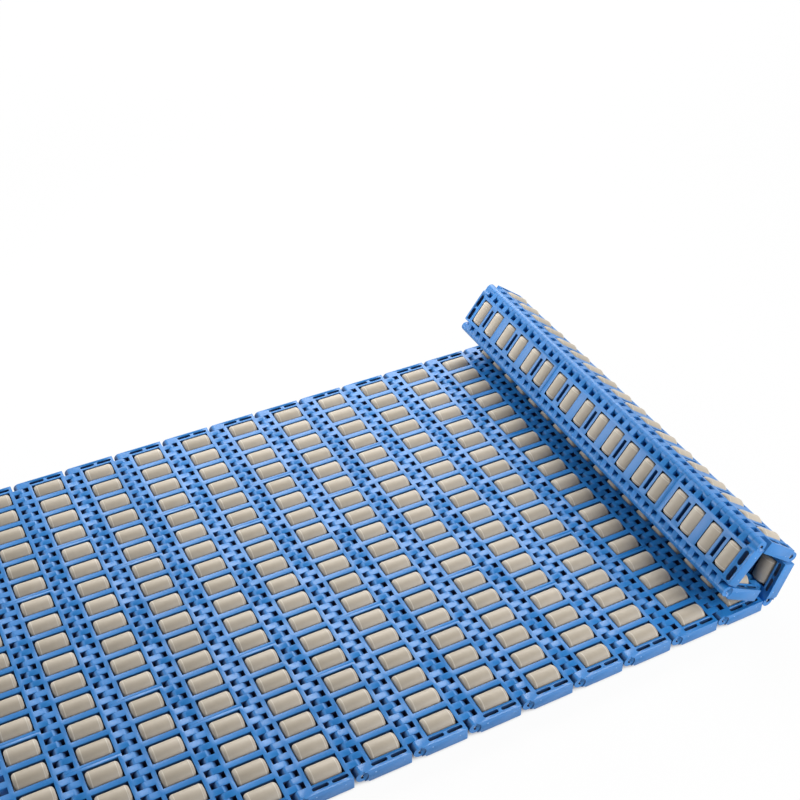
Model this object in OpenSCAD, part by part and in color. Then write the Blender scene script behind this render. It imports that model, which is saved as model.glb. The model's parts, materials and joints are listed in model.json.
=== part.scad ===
// Modular plastic conveyor belt with rollers that turn across the belt's travel.
// A length of belt lies flat, conveying side up, and its last rows are rolled up on top of it.
// X runs along the belt towards the roll, Y across it, Z up. The floor is at z = 0.

/* [Belt] */
// Distance from one hinge rod to the next
pitch = 50.8; // [49:0.1:56]
// Distance from one roller to the next across the belt
roller_spacing = 25.4; // [25:0.1:30]
// From the outermost roller's axis to the edge of the belt
edge_margin = 18.9; // [18.4:0.1:24]
// Thickness of the moulded modules
thickness = 12.2; // [11.6:0.1:14]
// Rollers carried by the narrow module of a row
narrow_rollers = 4; // [2:2:8]
// Rollers carried by the middle module of a row
middle_rollers = 8; // [2:2:10]
// Rollers carried by the wide module of a row
wide_rollers = 6; // [2:2:8]
// Gap between two modules of one row
seam = 0.2; // [0.1:0.05:0.4]

/* [Hinge] */
// From the conveying surface down to the rod's axis, which is also the eye's radius
hinge_drop = 5.1; // [4.8:0.1:5.6]
// Diameter of the hinge rod
rod_diameter = 5; // [4:0.1:6]
// Radial play of the rod in the eyes
rod_play = 0.08; // [0.02:0.01:0.1]
// Width of one hinge finger
finger_width = 6.1; // [5.6:0.05:6.15]
// Free space between a finger's tip and the wall that it points at
tip_gap = 2.2; // [1.6:0.1:3]
// Depth of the round recess around the eye at the near edge
eye_recess = 1.2; // [0.6:0.1:2]
// Thickness of the skin that keeps the rod in, at the bottom of that recess
rod_stop = 1.2; // [0.8:0.1:2.5]
// How far the hole in that skin lies off the rod's axis
stop_offset = 1.2; // [0.6:0.1:1.6]
// Diameter of the hole in that skin
stop_hole = 4.6; // [3:0.1:4.8]

/* [Pockets] */
// Wall between the pockets and the fingers that face away from the roll
eye_wall = 3.7; // [3.2:0.1:4.5]
// Wall between the pockets and the fingers that face the roll
finger_wall = 3.5; // [3:0.1:4.5]
// Space all round a roller in its cradle
cradle_play = 0.75; // [0.5:0.05:0.8]
// Radius of the boss that carries the end of an axle
boss_radius = 3.2; // [2.6:0.1:4]
// How far that boss stands out of the pocket's wall
boss_height = 0.5; // [0.3:0.1:1]

/* [Rollers] */
// Diameter of a roller
roller_diameter = 18.7; // [17:0.1:18.9]
// From the conveying surface down to the roller's axis
axle_drop = 5.5; // [5:0.1:6]
// Free space between a roller's end and its boss
roller_end_play = 0.35; // [0.2:0.05:0.8]
// Radius of the roller's rounded ends
roller_rounding = 3; // [1:0.1:4]
// Diameter of the axle pin
axle_diameter = 3; // [2:0.1:4]
// Radial play of the roller on its axle pin
axle_play = 0.08; // [0.02:0.01:0.1]
// Radial play of the axle pin in its seats
axle_seat_play = 0.03; // [0.01:0.01:0.06]
// Depth of the axle's blind seat in the wall
axle_seat = 3; // [2:0.1:3.4]

/* [Slots] */
// Width of the blind slots in every other rib of the underside
rib_slot_width = 4.1; // [3:0.1:4.3]
// Length of those slots
rib_slot_length = 21.3; // [12:0.1:24]
// Depth of those slots
rib_slot_depth = 5.2; // [2:0.1:5.6]
// Width of the through slots along the edges
edge_slot_width = 3.6; // [2:0.1:4]
// Length of one edge slot
edge_slot_length = 14.2; // [10:0.1:14.4]
// Space between the two slots of a row
edge_slot_space = 2.8; // [2.4:0.1:6]
// From the belt's edge to the middle of the edge slots
edge_slot_inset = 4.9; // [4.4:0.1:5.4]

/* [Roll] */
// Direction of the first row that leaves the floor, up from +X
heading_rise = 69.4; // [68:0.1:71]
// Direction of the row on top of the roll
heading_top = 142.7; // [141:0.1:144]
// Direction of the row that comes down again
heading_fall = 233; // [232:0.1:235]
// Direction of the belt's last row, which ends inside the roll
heading_end = 330.8; // [330.4:0.1:331.4]

/* [Hidden] */
$fn = 64;
cut = 1;              // how far a cutting solid runs past the face that it cuts
flat_rows = 13;
turned = [heading_rise, heading_top, heading_fall, heading_end];
rows = flat_rows + len(turned);
rollers = narrow_rollers + middle_rollers + wide_rollers;
width = (rollers - 1) * roller_spacing + 2 * edge_margin;

top = hinge_drop;                         // conveying surface above the rod axis
under = hinge_drop - thickness;           // underside, below the rod axis
axle_z = hinge_drop - axle_drop;          // roller axis against the rod axis
eye_radius = hinge_drop;
bore_radius = rod_diameter / 2 + rod_play;
finger_step = roller_spacing / 2;
finger_play = (finger_step - 2 * finger_width) / 2;
wall_x = eye_radius + tip_gap;            // outer face of the wall beside a hinge
pocket_start = wall_x + eye_wall;
pocket_end = pitch - wall_x - finger_wall;
pocket_length = pocket_end - pocket_start;
pocket_middle = (pocket_start + pocket_end) / 2;
cradle_radius = roller_diameter / 2 + cradle_play;
roller_length = pocket_length - 2 * (boss_height + roller_end_play);
cheek_x = wall_x - 1.6;                   // where the edge plate reaches its full depth
cheek_slant = 1;                          // run of the slanted step below its eye
corner = 0.8;                             // from a wall to where the fingers' slant ends
eye_sink = 0.06;                          // how far inside the eye that slant begins
recess_rim = 0.4;                         // how much wider than the eye the recess is
slot_flare = 0.8;                         // how much wider an edge slot is below, on each side
slot_run = 0.4;                           // how much longer it is below, at each end
flare_depth = 4;
rod_end_gap = 0.6;                        // rod end to the stop, and to the far edge
lift = roller_diameter / 2 - axle_z;      // rod axis above the floor, on the rollers' lowest line

// Rows whose near-edge module has rollers in nodes of their own, each turning by itself
loose_rows = [7, 8];

function two_digits(n) = n < 10 ? str("0", n) : str(n);
function row_name(k) = str("row_", two_digits(k));
function is_even(k) = k % 2 == 0;
function modules_of(k) = is_even(k)
    ? [narrow_rollers, middle_rollers, wide_rollers]
    : [wide_rollers, middle_rollers, narrow_rollers];
function before(list, n) = n == 0 ? 0 : list[n - 1] + before(list, n - 1);
function loose_count(k) = len(search(k, loose_rows)) > 0 ? modules_of(k)[0] : 0;
function roller_y(i) = (i - (rollers - 1) / 2) * roller_spacing;

// Where each row's own hinge stands in the X-Z plane, counted from the belt's free end
function heading(k) = k <= flat_rows ? 0 : turned[k - flat_rows - 1];
function step(a) = pitch * [cos(a), sin(a)];
function hinge_at(k) = k <= 1 ? [0, 0] : hinge_at(k - 1) + step(heading(k - 1));

// The belt's reach along X, so that the origin lies under its middle
function along(p, a) = p[0] * cos(a) - p[1] * sin(a);
low_corners = [[wall_x + corner, under], [pitch - wall_x - corner, under]];
roller_low = axle_z - roller_diameter / 2;
roller_ends = [pocket_middle - roller_length / 2, pocket_middle + roller_length / 2];
round_x = [roller_ends[0] + roller_rounding, roller_ends[1] - roller_rounding];
round_z = roller_low + roller_rounding;
function row_reach(k) = hinge_at(k)[0] + max(concat(
    [along([pitch, 0], heading(k)) + eye_radius],
    [for (p = low_corners) along(p, heading(k))],
    [for (x = round_x) along([x, round_z], heading(k)) + roller_rounding]));
reach = max([for (k = [flat_rows : rows]) row_reach(k)]);
shift = -(reach - eye_radius) / 2;

// Puts a row, drawn from its own hinge along +X, where it lies in the belt
module in_row(k) {
    translate([shift + hinge_at(k)[0], 0, lift + hinge_at(k)[1]])
        rotate([0, -heading(k), 0])
            children();
}

// Extrudes an outline drawn in X-Z across the belt, from y0 to y1
module across(y0, y1) {
    translate([0, y1, 0])
        rotate([90, 0, 0])
            linear_extrude(y1 - y0)
                children();
}

// Extrudes an outline drawn in Y-Z along the belt, from x0 to x1
module lengthways(x0, x1) {
    translate([x0, 0, 0])
        rotate([90, 0, 90])
            linear_extrude(x1 - x0)
                children();
}

// One finger of the plan, clipped where the module ends
module finger(x0, x1, y0, y1, low, high) {
    a = max(y0, low);
    b = min(y1, high);
    if (b > a)
        translate([x0, a])
            square([x1 - x0, b - a]);
}

// Plan of a module between y = low and y = high: its plate and its two combs of fingers
module module_plan(low, high) {
    half = finger_width / 2;
    translate([wall_x, low])
        square([pitch - 2 * wall_x, high - low]);
    for (j = [0 : 2 * rollers - 2]) {
        y = roller_y(0) + j * finger_step;
        finger(-eye_radius, wall_x + cut, y - half, y + half, low, high);
    }
    for (j = [0 : 2 * rollers - 1]) {
        y = roller_y(0) + (j - 0.5) * finger_step;
        finger(pitch - wall_x - cut, pitch + eye_radius, y - half, y + half, low, high);
    }
}

// Side view of plate and inner fingers: round eyes, and below them a slant down to the underside
module module_side() {
    for (x = [0, pitch])
        translate([x, 0])
            circle(eye_radius);
    polygon([
        [0, top],
        [0, eye_sink - eye_radius],
        [wall_x + corner, under],
        [pitch - wall_x - corner, under],
        [pitch, eye_sink - eye_radius],
        [pitch, top]]);
}

// The finger along the belt's edge: it carries the same eye, with a short step below it
module edge_cheek(y0, y1) {
    across(y0, y1) {
        circle(eye_radius);
        polygon([
            [0, top],
            [0, -eye_radius],
            [cheek_x - cheek_slant, -eye_radius],
            [cheek_x, under],
            [wall_x + cut, under],
            [wall_x + cut, top]]);
    }
}

// What the pockets of rollers first..last take out of a module, less the bosses that stay
module pocket_space(first, last) {
    difference() {
        lengthways(pocket_start, pocket_end)
            for (i = [first : last])
                translate([roller_y(i), axle_z]) {
                    circle(cradle_radius);
                    translate([-cradle_radius, 0])
                        square([2 * cradle_radius, axle_drop + cut]);
                }
        for (i = [first : last]) {
            lengthways(pocket_start - cut, pocket_start + boss_height)
                translate([roller_y(i), axle_z])
                    circle(boss_radius);
            lengthways(pocket_end - boss_height, pocket_end + cut)
                translate([roller_y(i), axle_z])
                    circle(boss_radius);
        }
    }
}

// Axle seats: blind in the wall on the eye side, right through the wall on the finger side
module axle_seats(first, last) {
    for (i = [first : last])
        lengthways(pocket_start - axle_seat, pitch - wall_x + cut)
            translate([roller_y(i), axle_z])
                circle(axle_diameter / 2 + axle_seat_play);
}

// Blind slots in the ribs between the two rollers of each pair
module rib_slots(first, last) {
    for (i = [first : 2 : last])
        translate([
            pocket_middle - rib_slot_length / 2,
            roller_y(i) + (roller_spacing - rib_slot_width) / 2,
            under - cut])
            cube([rib_slot_length, rib_slot_width, rib_slot_depth + cut]);
}

// Slot with round ends, drawn along X around its middle
module round_slot(length, slot_width) {
    for (s = [-1, 1])
        translate([s * (length - slot_width) / 2, 0])
            circle(slot_width / 2);
    square([length - slot_width, slot_width], center = true);
}

// The two through slots along one edge, wider on the underside
module edge_slots(side) {
    for (s = [-1, 1])
        translate([
            pocket_middle + s * (edge_slot_length + edge_slot_space) / 2,
            side * (width / 2 - edge_slot_inset),
            under - cut]) {
            linear_extrude(thickness + 2 * cut)
                round_slot(edge_slot_length, edge_slot_width);
            linear_extrude(flare_depth + cut)
                round_slot(edge_slot_length + 2 * slot_run, edge_slot_width + 2 * slot_flare);
        }
}

// Rod bores of both hinges. At the near edge the eye lies in a round recess and keeps a thin skin,
// with a hole set off to one side
module rod_bores(low, high, near_edge) {
    start = near_edge ? low + eye_recess + rod_stop : low - cut;
    across(start, high + cut)
        circle(bore_radius);
    across(low - cut, high + cut)
        translate([pitch, 0])
            circle(bore_radius);
    if (near_edge) {
        across(low - cut, low + eye_recess)
            circle(eye_radius + recess_rim);
        across(low - cut, start + cut)
            translate([stop_offset, 0])
                circle(stop_hole / 2);
    }
}

// One moulded module, with rollers first..last of the row
module belt_module(first, last) {
    near_edge = first == 0;
    far_edge = last == rollers - 1;
    low = near_edge ? -width / 2 : roller_y(first) - (roller_spacing - seam) / 2;
    high = far_edge ? width / 2 : roller_y(last) + (roller_spacing - seam) / 2;
    cheek = width / 2 + roller_y(0) - finger_step / 2 - finger_width / 2 - finger_play;
    difference() {
        union() {
            intersection() {
                translate([0, 0, under])
                    linear_extrude(thickness)
                        module_plan(low, high);
                across(low - cut, high + cut)
                    module_side();
            }
            if (near_edge)
                edge_cheek(low, low + cheek);
            if (far_edge)
                edge_cheek(high - cheek, high);
        }
        pocket_space(first, last);
        axle_seats(first, last);
        rib_slots(first, last);
        rod_bores(low, high, near_edge);
        if (near_edge)
            edge_slots(-1);
        if (far_edge)
            edge_slots(1);
    }
}

// The modules of row k, side by side, with their seams staggered from row to row
module row_modules(k) {
    counts = modules_of(k);
    color([0.32, 0.58, 0.87])
        in_row(k)
            for (m = [0 : len(counts) - 1])
                belt_module(before(counts, m), before(counts, m + 1) - 1);
}

// Half section of a roller: round corners outside, bore for its axle
module roller_section() {
    bore = axle_diameter / 2 + axle_play;
    outer = roller_diameter / 2;
    half = roller_length / 2;
    translate([bore, -half])
        square([outer - roller_rounding - bore, roller_length]);
    translate([bore, -half + roller_rounding])
        square([outer - bore, roller_length - 2 * roller_rounding]);
    for (s = [-1, 1])
        translate([outer - roller_rounding, s * (half - roller_rounding)])
            circle(roller_rounding);
}

// One roller at place i of its row
module roller(i) {
    translate([pocket_middle, roller_y(i), axle_z])
        rotate([0, 90, 0])
            rotate_extrude()
                roller_section();
}

// The axle pin of roller i
module axle(i) {
    lengthways(pocket_start - axle_seat, pitch - wall_x)
        translate([roller_y(i), axle_z])
            circle(axle_diameter / 2);
}

// The rollers of row k that aren't nodes by themselves, and all its axle pins
module row_rollers(k) {
    color([0.75, 0.71, 0.65])
        in_row(k) {
            for (i = [loose_count(k) : rollers - 1])
                roller(i);
            for (i = [0 : rollers - 1])
                axle(i);
        }
}

// Roller n of the near-edge module of row k, free to turn
module turning_roller(k, n) {
    color([0.75, 0.71, 0.65])
        in_row(k)
            roller(n - 1);
}

// The rod on which row k and row k + 1 swing
module hinge_rod(k) {
    color([0.86, 0.84, 0.78])
        in_row(k + 1)
            across(-width / 2 + eye_recess + rod_stop + rod_end_gap, width / 2 - rod_end_gap)
                circle(rod_diameter / 2);
}

for (k = [1 : rows])
    row_modules(k);
for (k = [1 : rows])
    row_rollers(k);
for (k = [1 : rows - 1])
    hinge_rod(k);
for (k = loose_rows, n = [1 : loose_count(k)])
    turning_roller(k, n);
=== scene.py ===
"""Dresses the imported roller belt: moulded decks, turned rollers, axle pins, rods and a studio."""

import json
import logging
import math
import random
from dataclasses import dataclass, field
from enum import Enum
from typing import Iterable, Sequence, Union

import bmesh
import bpy
from mathutils import Euler, Matrix, Vector


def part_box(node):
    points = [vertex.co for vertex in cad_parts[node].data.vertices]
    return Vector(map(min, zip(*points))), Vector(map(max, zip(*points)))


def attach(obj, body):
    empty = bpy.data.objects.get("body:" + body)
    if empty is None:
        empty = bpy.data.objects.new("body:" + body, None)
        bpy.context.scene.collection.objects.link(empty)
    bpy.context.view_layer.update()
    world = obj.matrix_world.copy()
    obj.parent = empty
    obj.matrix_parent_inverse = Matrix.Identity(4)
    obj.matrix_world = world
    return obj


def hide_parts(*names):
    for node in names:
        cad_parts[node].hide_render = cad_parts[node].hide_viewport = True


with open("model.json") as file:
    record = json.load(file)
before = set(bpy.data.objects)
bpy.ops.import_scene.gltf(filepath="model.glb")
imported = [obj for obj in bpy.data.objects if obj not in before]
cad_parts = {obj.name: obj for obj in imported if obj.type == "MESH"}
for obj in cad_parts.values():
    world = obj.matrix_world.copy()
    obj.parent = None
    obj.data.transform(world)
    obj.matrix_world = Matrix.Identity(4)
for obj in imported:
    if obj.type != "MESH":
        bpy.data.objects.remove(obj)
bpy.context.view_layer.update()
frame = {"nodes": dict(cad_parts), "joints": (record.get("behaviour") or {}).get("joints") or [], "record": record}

log = logging.getLogger("belt")

# The deck's faces above and below the hinge axis, in metres.
TOP = 0.0051
UNDER = -0.0071

Colour = tuple[float, float, float]
Triple = tuple[float, float, float]
Number = Union[float, "Wire"]


class Maths(Enum):
    """Math node operations that the finishes use."""

    ADD = "ADD"
    SUBTRACT = "SUBTRACT"
    MULTIPLY = "MULTIPLY"
    LEAST = "MINIMUM"


class Wire:
    """A shader socket on which Python's operators work; each operator adds one Math node."""

    def __init__(self, bench: "Bench", socket: bpy.types.NodeSocket) -> None:
        """Keeps the socket and the bench on which it lies.

        Args:
            bench: the node tree that the socket belongs to.
            socket: an output socket.
        """
        self.bench = bench
        self.socket = socket

    def _maths(self, how: Maths, first: Number, second: Number = 0.0) -> "Wire":
        """Adds a Math node.

        Args:
            how: its operation.
            first: the upper input.
            second: the lower input.

        Returns:
            The node's result.
        """
        return self.bench.node("ShaderNodeMath", {"operation": how.value}, {0: first, 1: second})

    def __add__(self, other: Number) -> "Wire":
        """Sum."""
        return self._maths(Maths.ADD, self, other)

    def __radd__(self, other: Number) -> "Wire":
        """Sum, with the plain number first."""
        return self._maths(Maths.ADD, other, self)

    def __sub__(self, other: Number) -> "Wire":
        """Difference."""
        return self._maths(Maths.SUBTRACT, self, other)

    def __rsub__(self, other: Number) -> "Wire":
        """Difference, with the plain number first."""
        return self._maths(Maths.SUBTRACT, other, self)

    def __mul__(self, other: Number) -> "Wire":
        """Product."""
        return self._maths(Maths.MULTIPLY, self, other)

    def at_most(self, other: Number) -> "Wire":
        """The lesser of two values."""
        return self._maths(Maths.LEAST, self, other)

    def between(self, low: float, high: float) -> "Wire":
        """Runs smoothly from 0 at low to 1 at high, and stays there beyond.

        Args:
            low: the value that gives 0.
            high: the value that gives 1.

        Returns:
            The mask.
        """
        settings = {"interpolation_type": "SMOOTHSTEP", "clamp": True}
        inputs = {"Value": self, "From Min": low, "From Max": high}
        return self.bench.node("ShaderNodeMapRange", settings, inputs)


class Bench:
    """The node tree of one material, with a single method that makes nodes."""

    def __init__(self, name: str) -> None:
        """Starts an empty material.

        Args:
            name: the material's name.
        """
        self.material = bpy.data.materials.new(name)
        self.material.use_nodes = True
        self.tree = self.material.node_tree
        self.tree.nodes.clear()

    def node(self, kind: str, settings: dict | None = None, inputs: dict | None = None,
             output: int | str = 0) -> Wire:
        """Makes any node, with its settings first and its sockets after.

        Args:
            kind: Blender's node type.
            settings: attributes of the node, such as its operation.
            inputs: socket name or number to a Wire, number, colour or vector.
            output: the output that is wanted, by name or number.

        Returns:
            That output.
        """
        made = self.tree.nodes.new(kind)
        for key, value in (settings or {}).items():
            setattr(made, key, value)
        for key, value in (inputs or {}).items():
            if isinstance(value, Wire):
                self.tree.links.new(value.socket, made.inputs[key])
            elif isinstance(value, tuple) and made.inputs[key].type == "RGBA" and len(value) == 3:
                made.inputs[key].default_value = (*value, 1.0)
            else:
                made.inputs[key].default_value = value
        return Wire(self, made.outputs[output]) if len(made.outputs) else Wire(self, None)

    def place(self) -> Wire:
        """Position on the piece, in metres."""
        return self.node("ShaderNodeTexCoord", output="Object")

    def painted(self, name: str, output: str = "Fac") -> Wire:
        """A value kept on the mesh itself.

        Args:
            name: the attribute's name.
            output: Fac for a number, Vector for a vector.

        Returns:
            The attribute's value.
        """
        settings = {"attribute_type": "GEOMETRY", "attribute_name": name}
        return self.node("ShaderNodeAttribute", settings, output=output)

    def noise(self, at: Wire, scale: float, detail: float = 2.0, roughness: float = 0.5) -> Wire:
        """Soft noise from 0 to 1.

        Args:
            at: where it is read.
            scale: cells to the metre.
            detail: octaves.
            roughness: how strong the finer octaves are.

        Returns:
            The noise.
        """
        inputs = {"Vector": at, "Scale": scale, "Detail": detail, "Roughness": roughness}
        return self.node("ShaderNodeTexNoise", {"noise_dimensions": "3D"}, inputs)

    def stretched(self, at: Wire, scale: Triple, turn: Triple = (0, 0, 0)) -> Wire:
        """Coordinates scaled by axis, for streaks.

        Args:
            at: the coordinates.
            scale: the factor of each axis.
            turn: rotation in radians, applied first.

        Returns:
            The new coordinates.
        """
        inputs = {"Vector": at, "Rotation": turn, "Scale": scale}
        return self.node("ShaderNodeMapping", {"vector_type": "POINT"}, inputs)

    def blend(self, mask: Number, low: "Wire | Colour", high: "Wire | Colour") -> Wire:
        """Mixes two colours.

        Args:
            mask: 0 gives low, 1 gives high.
            low: one colour.
            high: the other colour.

        Returns:
            The mixed colour.
        """
        made = self.tree.nodes.new("ShaderNodeMix")
        made.data_type = "RGBA"
        for place, value in ((0, mask), (6, low), (7, high)):
            socket = made.inputs[place]
            if isinstance(value, Wire):
                self.tree.links.new(value.socket, socket)
            else:
                socket.default_value = (*value, 1.0) if isinstance(value, tuple) else value
        return Wire(self, made.outputs[2])

    def raised(self, height: Wire, distance: float, strength: float,
               under: Wire | None = None) -> Wire:
        """A Bump node.

        Args:
            height: the relief, from 0 to 1.
            distance: the relief's height in metres.
            strength: how much of it shows.
            under: a coarser bump that this one sits on.

        Returns:
            The normal.
        """
        inputs = {"Height": height, "Distance": distance, "Strength": strength}
        if under is not None:
            inputs["Normal"] = under
        return self.node("ShaderNodeBump", None, inputs)

    def surface(self, shader: Wire) -> bpy.types.Material:
        """Connects the finished shader to the output.

        Args:
            shader: a shader output.

        Returns:
            The material.
        """
        self.node("ShaderNodeOutputMaterial", None, {"Surface": shader})
        return self.material


@dataclass(frozen=True)
class MouldedDeckFinish:
    """Blue injection-moulded plastic, satin and lightly grained; broken edges paler for rubbed wear and a painted
    highlight; painted shade deep in pockets, bores, slots and gaps.
    """

    body: Colour = (0.020, 0.213, 0.590)
    deep: Colour = (0.015, 0.190, 0.540)
    # Pale colour of broken edges and scuffs: rubbed wear, and on the edges also a painted highlight.
    wear_and_highlight_colour: Colour = (0.230, 0.450, 0.790)
    # Painted shade: the near-black navy laid on walls deep in pockets, bores, slots and gaps.
    hollow_shade: Colour = (0.0015, 0.006, 0.050)
    roughness: float = 0.35
    grain_height: float = 0.000018
    # Painted shade: how deep a wall lies before it darkens, and how far it darkens.
    hollow_shade_depth: tuple[float, float] = (0.0001, 0.0012)
    hollow_shade_share: float = 0.96
    ior: float = 1.58
    cloud_scale: float = 16.0
    flow_scale: float = 70.0
    wear_and_highlight_scale: float = 240.0
    grain_scale: float = 2600.0
    sink_scale: float = 120.0
    sink_height: float = 0.00012
    # How much of the pale colour the broken edges take, rubbed wear and painted highlight together.
    wear_and_highlight_share: float = 0.72
    scuff_share: float = 0.10
    scuff_stretch: Triple = (40.0, 900.0, 40.0)
    scuff_turn: Triple = (0, 0, 0.5)

    def make(self) -> bpy.types.Material:
        """Builds the material.

        Returns:
            The material.
        """
        b = Bench("deck_blue_moulded")
        at = b.place()
        cloud = b.noise(at, self.cloud_scale, 3.0, 0.55)
        flow = b.noise(b.stretched(at, (1.0, 0.22, 1.0)), self.flow_scale, 2.0, 0.5)
        batch = b.painted("batch")
        tone = (cloud * 0.5 + flow * 0.25 + batch * 0.45).between(0.25, 0.95)
        colour = b.blend(tone, self.deep, self.body)
        # Broken edges and pips turn paler: partly rubbed wear, partly a painted highlight.
        wear_and_highlight = b.painted("edge") * b.noise(at, self.wear_and_highlight_scale, 3.0, 0.6).between(0.30, 0.62)
        colour = b.blend(wear_and_highlight * self.wear_and_highlight_share, colour, self.wear_and_highlight_colour)
        scratched = b.stretched(at, self.scuff_stretch, self.scuff_turn)
        scuff = b.noise(scratched, 1.0, 3.0, 0.62).between(0.66, 0.80)
        colour = b.blend(scuff * self.scuff_share, colour, self.wear_and_highlight_colour)
        # Painted shade: marked walls darken towards the hollow colour the deeper they lie below the top or above
        # the underside.
        level = b.painted("level")
        depth = (TOP - level).at_most(level - UNDER)
        inside = b.painted("inside")
        shade_mask = inside * depth.between(*self.hollow_shade_depth)
        colour = b.blend(shade_mask * self.hollow_shade_share, colour, self.hollow_shade)
        rough = self.roughness + cloud * 0.08 - wear_and_highlight * 0.06 + scuff * 0.10
        rough = rough + inside * 0.26 + shade_mask * 0.14
        grain = b.noise(at, self.grain_scale, 2.0, 0.6)
        sink = b.noise(at, self.sink_scale, 1.0, 0.5)
        normal = b.raised(sink, self.sink_height, 0.25)
        normal = b.raised(grain, self.grain_height, 0.55, normal)
        shader = b.node("ShaderNodeBsdfPrincipled", None, {
            "Base Color": colour, "Roughness": rough, "IOR": self.ior, "Normal": normal})
        return b.surface(shader)


@dataclass(frozen=True)
class TurnedRollerFinish:
    """Warm grey roller plastic: faint lathe rings, a dull film and a painted highlight line at the end caps."""

    body: Colour = (0.550, 0.482, 0.392)
    dull: Colour = (0.486, 0.424, 0.338)
    # Painted highlight: the colour of the pale line at the end caps.
    rim_highlight: Colour = (0.760, 0.710, 0.630)
    roughness: float = 0.48
    ring_height: float = 0.000012
    ior: float = 1.50
    film_scale: float = 130.0
    ring_stretch: Triple = (1900.0, 12.0, 12.0)
    worn_stretch: Triple = (520.0, 40.0, 40.0)
    worn_share: float = 0.16
    rim_highlight_share: float = 0.55

    def make(self) -> bpy.types.Material:
        """Builds the material.

        Returns:
            The material.
        """
        b = Bench("roller_grey_turned")
        at = b.painted("lathe", "Vector")
        film = b.noise(at, self.film_scale, 3.0, 0.55)
        rings = b.noise(b.stretched(at, self.ring_stretch), 1.0, 2.0, 0.6)
        worn = b.noise(b.stretched(at, self.worn_stretch), 1.0, 3.0, 0.6).between(0.48, 0.72)
        tone = (film * 0.6 + b.painted("batch") * 0.5).between(0.25, 0.85)
        colour = b.blend(tone, self.dull, self.body)
        colour = b.blend(worn * self.worn_share, colour, self.dull)
        # Painted highlight: a pale line on the strip where each end cap starts.
        colour = b.blend(b.painted("edge") * self.rim_highlight_share, colour, self.rim_highlight)
        rough = self.roughness + film * 0.10 + worn * 0.05
        normal = b.raised(rings, self.ring_height, 0.5)
        shader = b.node("ShaderNodeBsdfPrincipled", None, {
            "Base Color": colour, "Roughness": rough, "IOR": self.ior, "Normal": normal})
        return b.surface(shader)


@dataclass(frozen=True)
class RodFinish:
    """Off-white extruded plastic of the hinge rods and axle pins, with draw lines."""

    name: str = "rod_offwhite_drawn"
    body: Colour = (0.700, 0.665, 0.590)
    shade: Colour = (0.560, 0.525, 0.455)
    roughness: float = 0.42
    streak: Triple = (900.0, 18.0, 900.0)
    line_height: float = 0.00002
    ior: float = 1.49

    def make(self) -> bpy.types.Material:
        """Builds the material.

        Returns:
            The material.
        """
        b = Bench(self.name)
        at = b.place()
        lines = b.noise(b.stretched(at, self.streak), 1.0, 2.0, 0.55)
        cloud = b.noise(at, 60.0, 2.0, 0.5)
        colour = b.blend((lines * 0.5 + cloud * 0.5).between(0.3, 0.75), self.shade, self.body)
        normal = b.raised(lines, self.line_height, 0.4)
        shader = b.node("ShaderNodeBsdfPrincipled", None, {
            "Base Color": colour, "Roughness": self.roughness + cloud * 0.1,
            "IOR": self.ior, "Normal": normal})
        return b.surface(shader)


@dataclass(frozen=True)
class StudioFinish:
    """White studio surface that stays white to the eye and still takes the belt's shadow."""

    paint: Colour = (0.86, 0.86, 0.86)
    shown: float = 0.95
    shade_reach: float = 0.060
    shade_samples: int = 12
    open_from: tuple[float, float] = (0.06, 0.42)

    def make(self) -> bpy.types.Material:
        """Builds the material.

        Returns:
            The material.
        """
        b = Bench("studio_white")
        rays = b.tree.nodes.new("ShaderNodeLightPath")
        seen = Wire(b, rays.outputs["Is Camera Ray"]) + Wire(b, rays.outputs["Is Glossy Ray"])
        seen = (seen + Wire(b, rays.outputs["Is Transmission Ray"])).between(0.0, 1.0)
        open_air = b.node("ShaderNodeAmbientOcclusion", {"samples": self.shade_samples},
                          {"Distance": self.shade_reach}, "AO")
        seen = seen * open_air.between(*self.open_from)
        paint = b.node("ShaderNodeBsdfDiffuse", None, {"Color": self.paint, "Roughness": 0.0})
        glow = b.node("ShaderNodeEmission", None, {"Color": (1.0, 1.0, 1.0), "Strength": 1.0})
        mixed = b.node("ShaderNodeMixShader", None, {0: seen * self.shown, 1: paint, 2: glow})
        return b.surface(mixed)


@dataclass(frozen=True)
class RowPlace:
    """Where one row of the belt lies: its own hinge axis and the direction in which it runs."""

    number: int
    hinge: Vector
    heading: float

    @property
    def name(self) -> str:
        """The row's name, which is its body's name too."""
        return f"row_{self.number:02d}"

    @property
    def matrix(self) -> Matrix:
        """From the row's own frame, its hinge at the origin and X along it, to the belt's."""
        return Matrix.Translation(self.hinge) @ Matrix.Rotation(-self.heading, 4, "Y")


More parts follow.
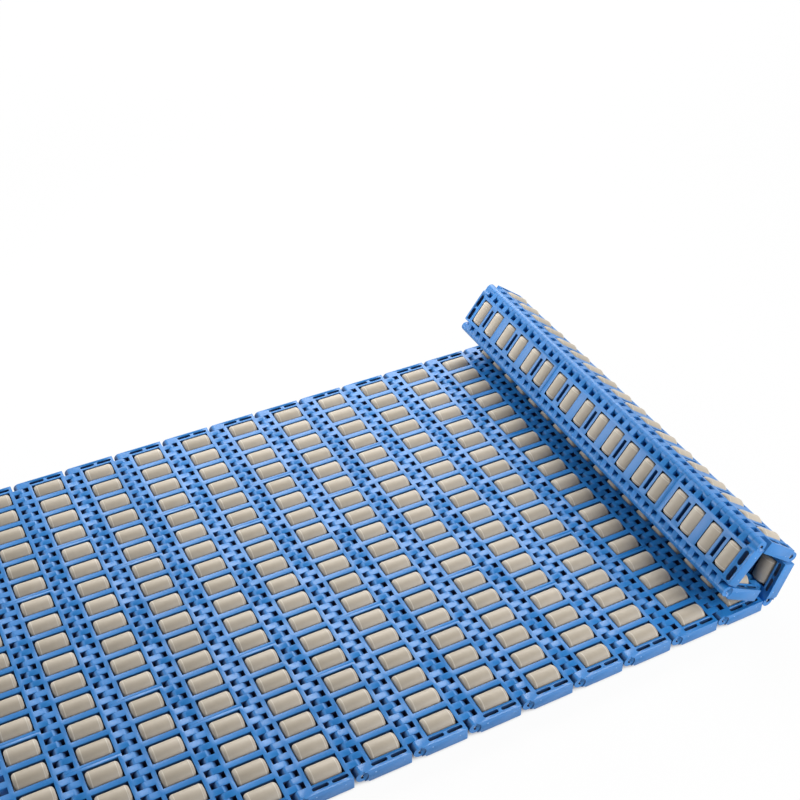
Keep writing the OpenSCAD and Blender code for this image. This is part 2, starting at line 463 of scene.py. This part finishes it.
@dataclass
class BeltLayout:
    """Reads each row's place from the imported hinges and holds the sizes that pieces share."""

    pitch: float = 0.0508
    spacing: float = 0.0254
    half_width: float = 0.2348
    top: float = TOP
    wall: float = 0.0073
    pocket: tuple[float, float] = (0.0110, 0.0400)
    axle_drop: float = 0.0004
    counts: dict[int, tuple[int, int, int]] = field(
        default_factory=lambda: {0: (4, 8, 6), 1: (6, 8, 4)})
    loose: dict[int, int] = field(default_factory=lambda: {7: 6, 8: 4})
    rows: list[RowPlace] = field(default_factory=list)

    def __post_init__(self) -> None:
        """Works out the rows' places."""
        points: dict[int, Vector] = {}
        for joint in frame["joints"]:
            if joint["name"].startswith("hinge_"):
                points[int(joint["name"][-2:]) + 1] = Vector(joint["pos_m"])
        mounts = {m["name"]: Vector(m["pos_m"]) for m in frame["record"]["mounts"]}
        points[1] = mounts["free_end_eyes"]
        points[len(points) + 1] = mounts["rolled_end_eyes"]
        for number in range(1, len(points)):
            start, end = points[number], points[number + 1]
            heading = math.atan2(end.z - start.z, end.x - start.x)
            self.rows.append(RowPlace(number, Vector((start.x, 0.0, start.z)), heading))

    @property
    def places(self) -> int:
        """Rollers in one row."""
        return sum(self.counts[0])

    def roller_y(self, place: int) -> float:
        """Where a roller's axis lies across the belt.

        Args:
            place: the roller's number in its row, from 0 at the near edge.

        Returns:
            Its y.
        """
        return (place - (self.places - 1) / 2) * self.spacing

    def seams(self, row: RowPlace) -> list[float]:
        """Where the row's modules meet.

        Args:
            row: the row.

        Returns:
            The y of each seam, near one first.
        """
        near, middle, _ = self.counts[row.number % 2]
        return [self.roller_y(place) - self.spacing / 2 for place in (near, near + middle)]


def shown_object(name: str, mesh: bpy.types.Mesh, material: bpy.types.Material) -> bpy.types.Object:
    """Links a finished mesh into the scene.

    Args:
        name: the piece's name.
        mesh: its mesh, already in the belt's frame.
        material: its only material.

    Returns:
        The new object.
    """
    mesh.materials.clear()
    mesh.materials.append(material)
    made = bpy.data.objects.new(name, mesh)
    bpy.context.scene.collection.objects.link(made)
    return made


def smooth_but_crisp(mesh: bpy.types.Mesh, angle: float) -> None:
    """Shades curved walls smoothly and keeps the edges between them sharp.

    Args:
        mesh: the mesh.
        angle: edges that bend more than this stay sharp, in degrees.
    """
    mesh.shade_smooth()
    mesh.set_sharp_from_angle(angle=math.radians(angle))


@dataclass
class MouldedDecks:
    """The moulded modules of every row, with broken edges that are rubbed and carry a painted highlight, pips on
    the plates, and painted shade in their hollows.
    """

    layout: BeltLayout
    finish: MouldedDeckFinish = field(default_factory=MouldedDeckFinish)
    edge_break: float = 0.00030
    bore_reach: float = 0.00285
    boss_reach: float = 0.0034
    edge_finger: float = 0.2255
    # Painted shade: the share that knuckles, underside slots and the walls of open hinges take.
    knuckle_shade_share: float = 0.66
    slot_shade_share: float = 0.80
    slot_reach: float = 0.0104
    open_shade_share: float = 0.22
    pip_radius: float = 0.00075
    pip_height: float = 0.00028
    pip_places: tuple[tuple[float, float], ...] = ((0.0116, 0.0011), (0.0365, 0.0011))
    merge_reach: float = 2e-6
    flat_angle: float = 0.6
    broken_angle: float = 40
    shortest_edge: float = 0.0004
    crisp_angle: float = 32.0
    facing: float = 0.9
    plate_depth: float = 0.0015
    under_lip: float = -0.0046
    end_slack: float = 0.0004
    bent_angle: float = 5
    seed: int = 11

    def template(self, row: RowPlace) -> bpy.types.Mesh:
        """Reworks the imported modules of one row, in the row's own frame.

        Args:
            row: the row whose modules are copied.

        Returns:
            A mesh that fits every row with the same seams.
        """
        mesh = frame["nodes"][f"{row.name}_modules"].data.copy()
        mesh.transform(row.matrix.inverted())
        bm = bmesh.new()
        bm.from_mesh(mesh)
        bmesh.ops.remove_doubles(bm, verts=bm.verts, dist=self.merge_reach)
        bmesh.ops.dissolve_limit(
            bm, angle_limit=math.radians(self.flat_angle), verts=bm.verts, edges=bm.edges)
        # Faces of the small bevels, which the finish paints pale: rubbed wear and a painted highlight.
        worn = bm.faces.layers.float.new("edge")
        bm.normal_update()
        edges = [edge for edge in bm.edges if self.takes_edge_break(edge)]
        made = bmesh.ops.bevel(
            bm, geom=edges, offset=self.edge_break, offset_type="OFFSET", segments=1,
            profile=0.5, affect="EDGES", clamp_overlap=True, material=-1)
        for face in made["faces"]:
            face[worn] = 1.0
        # Painted shade: each face gets its share of the dark hollow colour, and each vertex its height, from which
        # the finish reads the depth.
        inside = bm.faces.layers.float.new("inside")
        level = bm.verts.layers.float.new("level")
        bm.normal_update()
        for face in bm.faces:
            face[inside] = 0.0 if face[worn] > 0.5 else self.painted_shade_share(face)
        self.add_pips(bm, worn)
        for vert in bm.verts:
            vert[level] = vert.co.z
        bmesh.ops.triangulate(bm, faces=[face for face in bm.faces if len(face.verts) > 4])
        bm.to_mesh(mesh)
        bm.free()
        smooth_but_crisp(mesh, self.crisp_angle)
        return mesh

    def takes_edge_break(self, edge: bmesh.types.BMEdge) -> bool:
        """Says whether an edge of the moulding is broken: outer, convex and sharp.

        Args:
            edge: the edge.

        Returns:
            True if it takes a small bevel.
        """
        if len(edge.link_faces) != 2 or not edge.is_convex:
            return False
        if edge.calc_length() < self.shortest_edge:
            return False
        if edge.calc_face_angle(0.0) < math.radians(self.broken_angle):
            return False
        first, second = (vert.co for vert in edge.verts)
        for x in (0.0, self.layout.pitch):
            if all(math.hypot(co.x - x, co.z) < self.bore_reach for co in (first, second)):
                return False
        return not all(self.from_roller_axis(co) < self.boss_reach for co in (first, second))

    def painted_shade_share(self, face: bmesh.types.BMFace) -> float:
        """Says how much painted shade a face takes: a wall of a pocket, bore, slot or gap, where light is poor.

        Args:
            face: the face.

        Returns:
            1 for such a wall, less in a slot, 0 for an open face and below 0 for a round end.
        """
        at, normal, lay = face.calc_center_median(), face.normal, self.layout
        level = at.z > lay.top - 0.0002 or at.z < self.under_lip
        if abs(normal.z) > self.facing and level:
            return 0.0
        if abs(normal.y) > self.facing and abs(at.y) > lay.half_width - self.plate_depth:
            return 0.0
        for x in (0.0, lay.pitch):
            away = math.hypot(at.x - x, at.z)
            if away < self.bore_reach:
                return 1.0
            # A round knuckle end is marked below 0; its painted shade is settled hinge by hinge.
            if abs(away - lay.top) < self.end_slack and abs(normal.y) < 0.3:
                return -self.knuckle_shade_share
        if abs(at.y) > self.edge_finger and at.x < lay.wall + 0.0005:
            return 0.0
        beside_pocket = lay.pocket[0] - 0.002 < at.x < lay.pocket[1] + 0.002
        if self.from_roller_axis(at) > self.slot_reach and beside_pocket:
            return self.slot_shade_share
        return float(abs(at.y) < lay.half_width - self.plate_depth)

    def unshade_open_hinges(self, mesh: bpy.types.Mesh, row: RowPlace) -> None:
        """Lifts the painted shade at hinges that stand open: the bent ones and the belt's two free ends.

        Args:
            mesh: the row's mesh, in the row's frame.
            row: the row.
        """
        rows, lay = self.layout.rows, self.layout
        ends = []
        for other in (row.number - 2, row.number):
            joined = 0 <= other < len(rows)
            bend = abs(rows[other].heading - row.heading) if joined else 0.0
            ends.append(bend > math.radians(self.bent_angle) or not joined)
        inside = mesh.attributes["inside"].data
        for face, mark in zip(mesh.polygons, inside):
            left = face.center.x < lay.wall + self.end_slack
            right = face.center.x > lay.pitch - lay.wall - self.end_slack
            is_open = (left and ends[0]) or (right and ends[1])
            if mark.value < 0:
                mark.value = 0.0 if is_open else -mark.value
            elif is_open and abs(face.normal.y) + abs(face.normal.x) > 0.5:
                mark.value *= self.open_shade_share

    def from_roller_axis(self, point: Vector) -> float:
        """Distance to the nearest roller axis of the row.

        Args:
            point: a point in the row's frame.

        Returns:
            The distance, in metres.
        """
        steps = point.y / self.layout.spacing - 0.5
        nearest = (round(steps) + 0.5) * self.layout.spacing
        return math.hypot(point.y - nearest, point.z + self.layout.axle_drop)

    def add_pips(self, bm: bmesh.types.BMesh, worn: bmesh.types.BMLayerItem) -> None:
        """Adds the small domes that the mould leaves on both edge plates.

        Args:
            bm: the row's mesh, in the row's frame.
            worn: the layer that marks faces painted pale for wear and highlight, the domes among them.
        """
        for side in (-1, 1):
            for x, z in self.pip_places:
                dome = bmesh.ops.create_uvsphere(
                    bm, u_segments=12, v_segments=6, radius=self.pip_radius)["verts"]
                flat = Matrix.Diagonal((1.0, self.pip_height / self.pip_radius, 1.0, 1.0))
                place = Matrix.Translation((x, side * self.layout.half_width, z))
                turn = Matrix.Rotation(math.radians(90), 4, "X")
                bmesh.ops.transform(bm, matrix=place @ flat @ turn, verts=dome)
                # Painted highlight: the domes take the pale edge colour at more than full strength.
                for face in {face for vert in dome for face in vert.link_faces}:
                    face[worn] = 1.5

    def build(self) -> None:
        """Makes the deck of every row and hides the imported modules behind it."""
        material = self.finish.make()
        shapes = {row.number % 2: self.template(row) for row in self.layout.rows[:2]}
        dice = random.Random(self.seed)
        for row in self.layout.rows:
            mesh = shapes[row.number % 2].copy()
            tones = [dice.random() for _ in range(3)]
            seams = self.layout.seams(row)
            batch = mesh.attributes.new("batch", "FLOAT", "FACE")
            batch.data.foreach_set("value", [
                tones[sum(face.center.y > seam for seam in seams)] for face in mesh.polygons])
            self.unshade_open_hinges(mesh, row)
            mesh.transform(row.matrix)
            deck = shown_object(f"{row.name}_deck", mesh, material)
            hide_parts(f"{row.name}_modules")
            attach(deck, row.name)
            log.info("%s: %d faces", deck.name, len(mesh.polygons))


@dataclass
class TurnedRollers:
    """The rollers and their axle pins, turned as a lathe turns them."""

    layout: BeltLayout
    finish: TurnedRollerFinish = field(default_factory=TurnedRollerFinish)
    pin_finish: RodFinish = field(
        default_factory=lambda: RodFinish("axle_offwhite_drawn", streak=(18.0, 900.0, 900.0)))
    radius: float = 0.00935
    length: float = 0.0269
    rounding: float = 0.0030
    bore: float = 0.00158
    crease: float = 0.00008
    pin_radius: float = 0.0015
    pin_span: tuple[float, float] = (0.0080, 0.0435)
    pin_break: float = 0.0003
    pin_around: int = 12
    cap_angles: tuple[float, ...] = (10, 34, 62, 90)
    line_width: float = 0.00025
    line_reach: tuple[float, float] = (0.0003, 0.0006)
    crisp_angle: float = 28.0
    around: int = 28
    seed: int = 5

    def spun(self, bm: bmesh.types.BMesh, profile: Sequence[tuple[float, float]], steps: int,
             closed: bool) -> None:
        """Turns a profile round the X axis.

        Args:
            bm: an empty mesh that takes the result.
            profile: points (x, radius) along the half section.
            steps: faces round the axis.
            closed: True joins the last point to the first.
        """
        verts = [bm.verts.new((x, 0.0, r)) for x, r in profile]
        pairs = list(zip(verts, verts[1:])) + ([(verts[-1], verts[0])] if closed else [])
        edges = [bm.edges.new(pair) for pair in pairs]
        bmesh.ops.spin(
            bm, geom=verts + edges, cent=(0, 0, 0), axis=(1, 0, 0), dvec=(0, 0, 0),
            angle=math.tau, steps=steps, use_merge=True, use_duplicate=False)
        bmesh.ops.remove_doubles(bm, verts=bm.verts, dist=1e-6)
        bmesh.ops.recalc_face_normals(bm, faces=bm.faces)

    def roller(self) -> bmesh.types.BMesh:
        """Turns one roller round the X axis, with its middle at the origin.

        Returns:
            Its mesh; the strip at each end cap's line is marked as edge, for the painted highlight line.
        """
        half = self.length / 2
        start = half - self.rounding
        turns = [math.radians(angle) for angle in self.cap_angles]
        cap = [(start + self.rounding * math.sin(a),
                self.radius - self.rounding * (1 - math.cos(a))) for a in turns]
        right = [(start - self.line_width, self.radius), (start, self.radius - self.crease),
                 *cap, (half, self.bore)]
        left = [(-x, r) for x, r in reversed(right)]
        bm = bmesh.new()
        self.spun(bm, left + right, self.around, True)
        # The strip at each end cap's line, which the finish paints with a highlight line.
        worn = bm.faces.layers.float.new("edge")
        for face in bm.faces:
            middle = abs(face.calc_center_median().x)
            if start - self.line_reach[0] < middle < start + self.line_reach[1]:
                face[worn] = 1.0
        return bm

    def pin(self) -> bmesh.types.BMesh:
        """Turns one axle pin round the X axis, in the row's own x.

        Returns:
            Its mesh.
        """
        low, high = self.pin_span
        r, c = self.pin_radius, self.pin_break
        profile = [(low, 0.0), (low, r - c), (low + c, r),
                   (high - c, r), (high, r - c), (high, 0.0)]
        bm = bmesh.new()
        self.spun(bm, profile, self.pin_around, False)
        return bm

    def gathered(self, shape: bmesh.types.BMesh, row: RowPlace, places: Iterable[int], x: float,
                 dice: random.Random) -> bpy.types.Mesh:
        """Sets copies of a turned shape side by side in a row.

        Args:
            shape: the shape, round the X axis.
            row: the row that they lie in.
            places: their numbers across the row.
            x: how far along the row they are shifted.
            dice: gives each copy its own tone, slide and turn.

        Returns:
            One mesh in the belt's frame, with its lathe coordinates and tones kept on it.
        """
        single = bpy.data.meshes.new("turned")
        shape.to_mesh(single)
        bm = bmesh.new()
        lathe = bm.verts.layers.float_vector.new("lathe")
        batch = bm.verts.layers.float.new("batch")
        edge = bm.faces.layers.float.new("edge")
        for place in places:
            before = len(bm.verts)
            bm.from_mesh(single)
            bm.verts.ensure_lookup_table()
            fresh = bm.verts[before:]
            tone = dice.random()
            slide = Vector((0.0, dice.uniform(0, 9), dice.uniform(0, 9)))
            spin = Matrix.Rotation(dice.uniform(0, math.tau), 4, "X")
            for vert in fresh:
                vert[lathe] = vert.co + slide
                vert[batch] = tone
            shift = Matrix.Translation((x, self.layout.roller_y(place), -self.layout.axle_drop))
            bmesh.ops.transform(bm, matrix=row.matrix @ shift @ spin, verts=fresh)
        mesh = bpy.data.meshes.new("gathered")
        bm.to_mesh(mesh)
        bm.free()
        bpy.data.meshes.remove(single)
        smooth_but_crisp(mesh, self.crisp_angle)
        return mesh

    def build(self) -> None:
        """Makes the rollers and pins of every row, and the rollers that turn by themselves."""
        skin, pin_skin = self.finish.make(), self.pin_finish.make()
        roller, pin = self.roller(), self.pin()
        dice = random.Random(self.seed)
        middle = sum(self.layout.pocket) / 2
        for row in self.layout.rows:
            free = self.layout.loose.get(row.number, 0)
            mesh = self.gathered(roller, row, range(free, self.layout.places), middle, dice)
            rollers = shown_object(f"{row.name}_rollers_turned", mesh, skin)
            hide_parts(f"{row.name}_rollers")
            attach(rollers, row.name)
            mesh = self.gathered(pin, row, range(self.layout.places), 0.0, dice)
            pins = shown_object(f"{row.name}_axle_pins", mesh, pin_skin)
            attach(pins, row.name)
            for place in range(free):
                mesh = self.gathered(roller, row, [place], middle, dice)
                single = shown_object(f"{row.name}_roller_{place + 1}_turned", mesh, skin)
                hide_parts(f"{row.name}_turning_roller_{place + 1}")
                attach(single, f"{row.name}_roller_{place + 1}")
            fixed = self.layout.places - free
            log.info("%s: %d rollers in the row's own piece, %d free ones", row.name, fixed, free)
        roller.free()
        pin.free()


@dataclass
class HingeRods:
    """The round bars on which the rows swing, with cut and broken ends."""

    layout: BeltLayout
    finish: RodFinish = field(default_factory=RodFinish)
    radius: float = 0.0025
    end_break: float = 0.0005
    crisp_angle: float = 30.0
    around: int = 24

    def build(self) -> None:
        """Makes one bar for each hinge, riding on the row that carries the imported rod."""
        skin = self.finish.make()
        for row in self.layout.rows[1:]:
            node = f"hinge_rod_{row.number - 1:02d}"
            low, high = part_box(node)
            r, c = self.radius, self.end_break
            bm = bmesh.new()
            profile = [(low.y, 0.0), (low.y, r - c), (low.y + c, r),
                       (high.y - c, r), (high.y, r - c), (high.y, 0.0)]
            verts = [bm.verts.new((0.0, y, radius)) for y, radius in profile]
            edges = [bm.edges.new(pair) for pair in zip(verts, verts[1:])]
            bmesh.ops.spin(
                bm, geom=verts + edges, cent=(0, 0, 0), axis=(0, 1, 0), dvec=(0, 0, 0),
                angle=math.tau, steps=self.around, use_merge=True, use_duplicate=False)
            bmesh.ops.remove_doubles(bm, verts=bm.verts, dist=1e-6)
            bmesh.ops.recalc_face_normals(bm, faces=bm.faces)
            bmesh.ops.translate(bm, vec=row.hinge, verts=bm.verts)
            mesh = bpy.data.meshes.new(f"{node}_bar")
            bm.to_mesh(mesh)
            bm.free()
            smooth_but_crisp(mesh, self.crisp_angle)
            bar = shown_object(f"{node}_bar", mesh, skin)
            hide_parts(node)
            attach(bar, row.name)
        log.info("hinge rods: %d bars", len(self.layout.rows) - 1)


@dataclass
class Studio:
    """Floor, lamps, world and camera."""

    finish: StudioFinish = field(default_factory=StudioFinish)
    floor_size: float = 12.0
    lens: float = 58.17
    shift: tuple[float, float] = (-0.0625, 0.0)
    sensor: float = 36.0
    clip: tuple[float, float] = (0.01, 50.0)
    eye: Triple = (-0.33735, -0.81281, 0.85840)
    turn: Triple = (52.857, -0.892, -28.593)
    world_tint: Colour = (0.97, 0.985, 1.0)
    world_strength: float = 0.23
    wall_fade: tuple[float, float, float, float] = (0.52, 0.78, 1.0, 0.05)

    def lay_floor(self) -> None:
        """Lays a large white floor just under the rollers."""
        bm = bmesh.new()
        bmesh.ops.create_grid(bm, x_segments=1, y_segments=1, size=self.floor_size / 2)
        mesh = bpy.data.meshes.new("studio_floor")
        bm.to_mesh(mesh)
        bm.free()
        shown_object("studio_floor", mesh, self.finish.make())

    def light_world(self) -> None:
        """Gives the world a soft neutral light; to the eye it is white, and dim high overhead."""
        world = bpy.data.worlds.new("studio_world")
        world.use_nodes = True
        bpy.context.scene.world = world
        tree = world.node_tree
        tree.nodes.clear()
        rays = tree.nodes.new("ShaderNodeLightPath")
        seen = rays.outputs["Is Camera Ray"]
        for kind in ("Is Glossy Ray", "Is Transmission Ray"):
            either = tree.nodes.new("ShaderNodeMath")
            either.operation = "MAXIMUM"
            tree.links.new(seen, either.inputs[0])
            tree.links.new(rays.outputs[kind], either.inputs[1])
            seen = either.outputs[0]
        lamp = tree.nodes.new("ShaderNodeBackground")
        lamp.inputs["Color"].default_value = (*self.world_tint, 1.0)
        lamp.inputs["Strength"].default_value = self.world_strength
        white = tree.nodes.new("ShaderNodeBackground")
        white.inputs["Color"].default_value = (1.0, 1.0, 1.0, 1.0)
        aim = tree.nodes.new("ShaderNodeTexCoord")
        height = tree.nodes.new("ShaderNodeSeparateXYZ")
        wall = tree.nodes.new("ShaderNodeMapRange")
        wall.interpolation_type = "SMOOTHSTEP"
        for key, value in zip(("From Min", "From Max", "To Min", "To Max"), self.wall_fade):
            wall.inputs[key].default_value = value
        tree.links.new(aim.outputs["Generated"], height.inputs[0])
        tree.links.new(height.outputs["Z"], wall.inputs["Value"])
        tree.links.new(wall.outputs[0], white.inputs["Strength"])
        pick = tree.nodes.new("ShaderNodeMixShader")
        out = tree.nodes.new("ShaderNodeOutputWorld")
        tree.links.new(seen, pick.inputs[0])
        tree.links.new(lamp.outputs[0], pick.inputs[1])
        tree.links.new(white.outputs[0], pick.inputs[2])
        tree.links.new(pick.outputs[0], out.inputs["Surface"])

    def hang_lamp(self, name: str, at: Triple, size: tuple[float, float], watts: float, aim: Triple,
                  sheen: bool = True) -> None:
        """Hangs one soft rectangular lamp.

        Args:
            name: the lamp's name.
            at: where it hangs.
            size: its width and height.
            watts: its power.
            aim: the point that it faces.
            sheen: False keeps its mirror image off glossy surfaces.
        """
        lamp = bpy.data.lights.new(name, "AREA")
        lamp.shape = "RECTANGLE"
        lamp.size, lamp.size_y = size
        lamp.energy = watts
        holder = bpy.data.objects.new(name, lamp)
        holder.location = at
        holder.rotation_euler = (Vector(aim) - Vector(at)).to_track_quat("-Z", "Y").to_euler()
        holder.visible_camera = False
        holder.visible_glossy = sheen
        bpy.context.scene.collection.objects.link(holder)

    def set_camera(self) -> None:
        """Puts the camera above the near left corner, looking along the belt to the roll."""
        data = bpy.data.cameras.new("camera")
        data.lens = self.lens
        data.sensor_width = self.sensor
        data.shift_x, data.shift_y = self.shift
        data.clip_start, data.clip_end = self.clip
        camera = bpy.data.objects.new("camera", data)
        camera.location = self.eye
        camera.rotation_euler = Euler([math.radians(d) for d in self.turn], "XYZ")
        bpy.context.scene.collection.objects.link(camera)
        bpy.context.scene.camera = camera

    def build(self) -> None:
        """Sets up the whole studio."""
        self.lay_floor()
        self.light_world()
        self.hang_lamp("back_softbox", (0.95, 1.75, 1.22), (1.9, 0.9), 32.0, (0.15, 0.10, 0.0))
        self.hang_lamp("side_softbox", (0.75, -1.05, 0.66), (1.0, 0.7), 12.5, (0.20, -0.10, 0.0))
        self.hang_lamp("crest_softbox", (0.10, 0.50, 0.52), (0.5, 0.4), 2.3, (0.25, 0.05, 0.05),
                       sheen=False)
        self.hang_lamp("low_softbox", (-1.20, 1.15, 0.54), (1.2, 0.9), 12.5, (0.25, 0.0, 0.05))
        self.set_camera()
        bpy.context.scene.view_settings.view_transform = "Standard"
        log.info("studio: floor, world, four lamps and camera")


def main() -> None:
    """Builds the studio and the belt."""
    logging.basicConfig(level=logging.INFO, format="%(name)s: %(message)s")
    Studio().build()
    layout = BeltLayout()
    MouldedDecks(layout).build()
    TurnedRollers(layout).build()
    HingeRods(layout).build()


if __name__ == "__main__":
    main()
